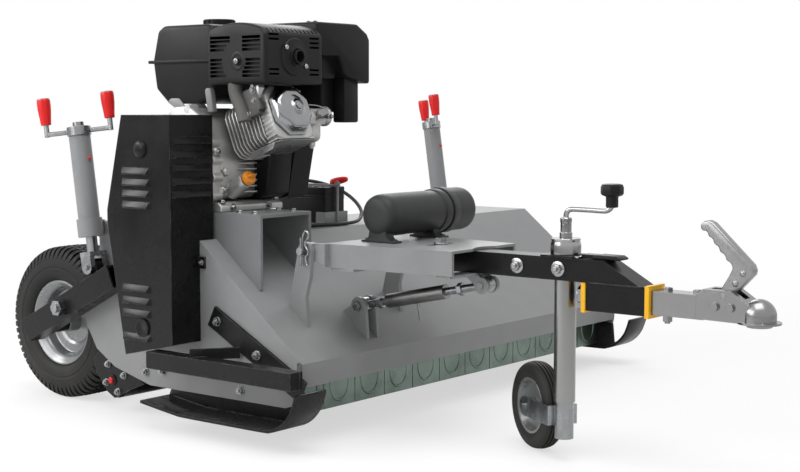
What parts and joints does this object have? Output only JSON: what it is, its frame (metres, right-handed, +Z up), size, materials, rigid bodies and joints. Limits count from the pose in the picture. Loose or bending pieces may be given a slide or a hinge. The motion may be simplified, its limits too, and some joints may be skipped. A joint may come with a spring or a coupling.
{
  "type": "towed flail mower",
  "caption": "Towed flail mower: engine and belt guard on a wide hooded deck with crank-jacked side wheels, an offset height-set drawbar, ball coupler and jockey wheel.",
  "frame": {"origin": "middle of the bounding box at ground level", "axes": "+X forward to the tow coupler, +Y to the machine's left, +Z up"},
  "size_m": [2.121, 1.6071, 0.9953],
  "materials": {
    "gray_paint": "semi-gloss gray paint",
    "dark_gray_paint": "semi-gloss dark gray paint",
    "black_paint": "satin black powder coat",
    "zinc_steel": "zinc plate",
    "dark_steel": "oiled bare steel",
    "cast_aluminium": "as cast",
    "polished_cover": "bright plated",
    "cast_exhaust": "dark, heat stained",
    "black_heat_paint": "matt heat paint",
    "black_plastic": "fine grain",
    "orange_plastic": "gloss",
    "yellow_plastic": "satin",
    "red_rubber": "satin",
    "cable_rubber": "satin",
    "belt_rubber": "matt",
    "brass_nut": "machined",
    "silver_rim": "silver paint",
    "tyre_rubber": "matt"
  },
  "bodies": {
    "deck": {"deck_hood": "gray_paint", "engine_stand": "dark_gray_paint", "skids": "black_paint", "side_bumper": "black_paint", "belt_guard": "black_paint", "deck_bolts": "zinc_steel", "crankcase": "cast_aluminium", "cylinder": "cast_aluminium", "valve_cover": "polished_cover", "exhaust": "cast_exhaust", "muffler_guard": "black_heat_paint", "fuel_tank": "black_plastic", "air_filter": "black_plastic", "carburettor": "cast_aluminium", "blower_housing": "black_plastic", "battery": "black_plastic", "battery_tray": "gray_paint", "terminal_boot": "red_rubber", "battery_cable": "cable_rubber", "roller_plates": "black_paint", "hinge_pins": "zinc_steel", "drive_belt": "belt_rubber"},
    "drawbar": {"drawbar_frame": "gray_paint", "document_tube": "black_plastic"},
    "arm": {"drawbar_arm": "black_paint", "arm_bolts": "zinc_steel", "bush_plates": "yellow_plastic", "jockey_tube": "gray_paint"},
    "coupler": {"coupler_head": "zinc_steel"},
    "jockey_wheel": {"jockey_rim": "silver_rim", "jockey_tyre": "tyre_rubber"},
    "fuel_cap": {"fuel_cap": "black_plastic"},
    "oil_dipstick": {"oil_dipstick": "orange_plastic"},
    "engine_pulley": {"engine_pulley": "dark_steel"},
    "rotor": {"rotor": "dark_steel"},
    "hammers_a": {"hammers_a": "dark_steel"},
    "hammers_b": {"hammers_b": "dark_steel"},
    "rear_roller": {"rear_roller": "black_paint"},
    "front_flaps": {"front_flaps": "zinc_steel"},
    "document_cap": {"document_cap": "black_plastic"},
    "coupler_handle": {"coupler_handle": "zinc_steel"},
    "jockey_nut": {"jockey_nut": "brass_nut"},
    "jockey_leg": {"jockey_leg": "zinc_steel"},
    "jockey_crank": {"jockey_crank": "zinc_steel"},
    "jockey_knob": {"jockey_knob": "black_plastic"},
    "turnbuckle_rear": {"turnbuckle_rear": "zinc_steel"},
    "turnbuckle_sleeve": {"turnbuckle_sleeve": "zinc_steel"},
    "turnbuckle_front": {"turnbuckle_front": "zinc_steel"},
    "lever_right": {"wheel_lever_right": "black_paint"},
    "wheel_right": {"wheel_rim_right": "silver_rim", "wheel_tyre_right": "tyre_rubber"},
    "jack_tube_right": {"jack_tube_right": "gray_paint"},
    "jack_screw_right": {"jack_screw_right": "zinc_steel"},
    "jack_crank_right": {"jack_crank_right": "zinc_steel"},
    "lever_left": {"wheel_lever_left": "black_paint"},
    "wheel_left": {"wheel_rim_left": "silver_rim", "wheel_tyre_left": "tyre_rubber"},
    "jack_tube_left": {"jack_tube_left": "gray_paint"},
    "jack_screw_left": {"jack_screw_left": "zinc_steel"},
    "jack_crank_left": {"jack_crank_left": "zinc_steel"}
  },
  "joints": [
    {"name": "rotor_spin", "type": "hinge", "parent": "deck", "child": "rotor", "pos_m": [-0.386, 0, 0.249], "axis": [0, 1, 0], "continuous": true},
    {"name": "engine_pulley_spin", "type": "hinge", "parent": "deck", "child": "engine_pulley", "pos_m": [-0.386, -0.738, 0.676], "axis": [0, 1, 0], "continuous": true},
    {"name": "hammers_a_swing", "type": "hinge", "parent": "rotor", "child": "hammers_a", "pos_m": [-0.294, 0, 0.249], "axis": [0, 1, 0], "range_deg": [-110, 30]},
    {"name": "hammers_b_swing", "type": "hinge", "parent": "rotor", "child": "hammers_b", "pos_m": [-0.478, 0, 0.249], "axis": [0, 1, 0], "range_deg": [-30, 110]},
    {"name": "rear_roller_spin", "type": "hinge", "parent": "deck", "child": "rear_roller", "pos_m": [-0.619, 0, 0.08], "axis": [0, 1, 0], "continuous": true},
    {"name": "front_flaps_swing", "type": "hinge", "parent": "deck", "child": "front_flaps", "pos_m": [-0.008, 0, 0.168], "axis": [0, 1, 0], "range_deg": [-40, 60]},
    {"name": "fuel_cap_turn", "type": "hinge", "parent": "deck", "child": "fuel_cap", "pos_m": [-0.43, -0.48, 0.985], "axis": [0, 0, 1], "range_deg": [0, 90]},
    {"name": "oil_dipstick_turn", "type": "hinge", "parent": "deck", "child": "oil_dipstick", "pos_m": [-0.266, -0.57, 0.59], "axis": [0.866, 0, 0.5], "range_deg": [0, 360]},
    {"name": "turnbuckle_rear_tilt", "type": "hinge", "parent": "deck", "child": "turnbuckle_rear", "pos_m": [-0.011, -0.41, 0.296], "axis": [0, 1, 0], "range_deg": [-7.2, 7.2]},
    {"name": "turnbuckle_sleeve_turn", "type": "hinge", "parent": "turnbuckle_rear", "child": "turnbuckle_sleeve", "pos_m": [-0.011, -0.41, 0.296], "axis": [0.9783, 0, 0.207], "range_deg": [-1592.82, 1592.82]},
    {"name": "turnbuckle_front_slide", "type": "slide", "parent": "turnbuckle_rear", "child": "turnbuckle_front", "axis": [0.9783, 0, 0.207], "range_m": [-0.0179, 0.0179]},
    {"name": "drawbar_pitch", "type": "hinge", "parent": "deck", "child": "drawbar", "pos_m": [-0.042, -0.41, 0.44], "axis": [0, 1, 0], "range_deg": [-6.88, 6.88]},
    {"name": "arm_swing", "type": "hinge", "parent": "drawbar", "child": "arm", "pos_m": [0.048, -0.41, 0.43], "axis": [0, 0, 1], "range_deg": [-12, 12]},
    {"name": "document_cap_pull", "type": "slide", "parent": "drawbar", "child": "document_cap", "axis": [0, 1, 0], "range_m": [0, 0.1]},
    {"name": "coupler_roll", "type": "hinge", "parent": "arm", "child": "coupler", "pos_m": [0.7, -0.41, 0.372], "axis": [1, 0, 0], "range_deg": [-30, 30]},
    {"name": "coupler_handle_lift", "type": "hinge", "parent": "coupler", "child": "coupler_handle", "pos_m": [0.95, -0.41, 0.398], "axis": [0, 1, 0], "range_deg": [0, 35], "stiffness_Nm_per_rad": 3, "springref_deg": -11.46},
    {"name": "jockey_crank_turn", "type": "hinge", "parent": "arm", "child": "jockey_crank", "pos_m": [0.562, -0.41, 0.5], "axis": [0, 0, 1], "range_deg": [0, 10800]},
    {"name": "jockey_nut_slide", "type": "slide", "parent": "arm", "child": "jockey_nut", "axis": [0, 0, -1], "range_m": [-0.0001, 0.1201]},
    {"name": "jockey_knob_spin", "type": "hinge", "parent": "jockey_crank", "child": "jockey_knob", "pos_m": [0.676, -0.41, 0.58], "axis": [0, 0, 1], "continuous": true},
    {"name": "jockey_swivel", "type": "hinge", "parent": "jockey_nut", "child": "jockey_leg", "pos_m": [0.562, -0.41, 0.3], "axis": [0, 0, 1], "continuous": true},
    {"name": "jockey_wheel_spin", "type": "hinge", "parent": "jockey_leg", "child": "jockey_wheel", "pos_m": [0.45288, -0.347, 0.1], "axis": [0.5, 0.866, 0], "continuous": true},
    {"name": "lever_right_swing", "type": "hinge", "parent": "deck", "child": "lever_right", "pos_m": [-0.732, -0.731, 0.265], "axis": [0, 1, 0], "range_deg": [-7.6, 7.6]},
    {"name": "wheel_right_spin", "type": "hinge", "parent": "lever_right", "child": "wheel_right", "pos_m": [-0.858, -0.6, 0.203], "axis": [0, 1, 0], "continuous": true},
    {"name": "jack_right_tilt", "type": "hinge", "parent": "deck", "child": "jack_tube_right", "pos_m": [-0.643, -0.731, 0.468], "axis": [0, 1, 0], "range_deg": [-7.6, 7.6]},
    {"name": "jack_screw_right_slide", "type": "slide", "parent": "jack_tube_right", "child": "jack_screw_right", "axis": [0.1489, 0, -0.9889], "range_m": [-0.0156, 0.0156]},
    {"name": "jack_crank_right_turn", "type": "hinge", "parent": "jack_tube_right", "child": "jack_crank_right", "pos_m": [-0.643, -0.731, 0.468], "axis": [-0.1489, 0, 0.9889], "range_deg": [-1380.83, 1380.83]},
    {"name": "lever_left_swing", "type": "hinge", "parent": "deck", "child": "lever_left", "pos_m": [-0.732, 0.731, 0.265], "axis": [0, 1, 0], "range_deg": [-7.6, 7.6]},
    {"name": "wheel_left_spin", "type": "hinge", "parent": "lever_left", "child": "wheel_left", "pos_m": [-0.858, 0.6, 0.203], "axis": [0, 1, 0], "continuous": true},
    {"name": "jack_left_tilt", "type": "hinge", "parent": "deck", "child": "jack_tube_left", "pos_m": [-0.643, 0.731, 0.468], "axis": [0, 1, 0], "range_deg": [-7.6, 7.6]},
    {"name": "jack_screw_left_slide", "type": "slide", "parent": "jack_tube_left", "child": "jack_screw_left", "axis": [0.1489, 0, -0.9889], "range_m": [-0.0156, 0.0156]},
    {"name": "jack_crank_left_turn", "type": "hinge", "parent": "jack_tube_left", "child": "jack_crank_left", "pos_m": [-0.643, 0.731, 0.468], "axis": [-0.1489, 0, 0.9889], "range_deg": [-1380.83, 1380.83]}
  ],
  "couplings": [
    {"joint": "engine_pulley_spin", "follows": "rotor_spin", "ratio": 0.86957},
    {"joint": "turnbuckle_sleeve_turn", "follows": "drawbar_pitch", "ratio": -231.37},
    {"joint": "turnbuckle_front_slide", "follows": "drawbar_pitch", "m_per_rad": -0.1473},
    {"joint": "turnbuckle_rear_tilt", "follows": "drawbar_pitch", "ratio": 1.0014},
    {"joint": "jockey_nut_slide", "follows": "jockey_crank_turn", "m_per_rad": 0.00063662},
    {"joint": "jack_screw_right_slide", "follows": "jack_crank_right_turn", "m_per_rad": 0.00063662},
    {"joint": "lever_right_swing", "follows": "jack_crank_right_turn", "ratio": 0.005386},
    {"joint": "jack_right_tilt", "follows": "jack_crank_right_turn", "ratio": -0.005348},
    {"joint": "jack_screw_left_slide", "follows": "jack_crank_left_turn", "m_per_rad": 0.00063662},
    {"joint": "lever_left_swing", "follows": "jack_crank_left_turn", "ratio": 0.005386},
    {"joint": "jack_left_tilt", "follows": "jack_crank_left_turn", "ratio": -0.005348}
  ]
}
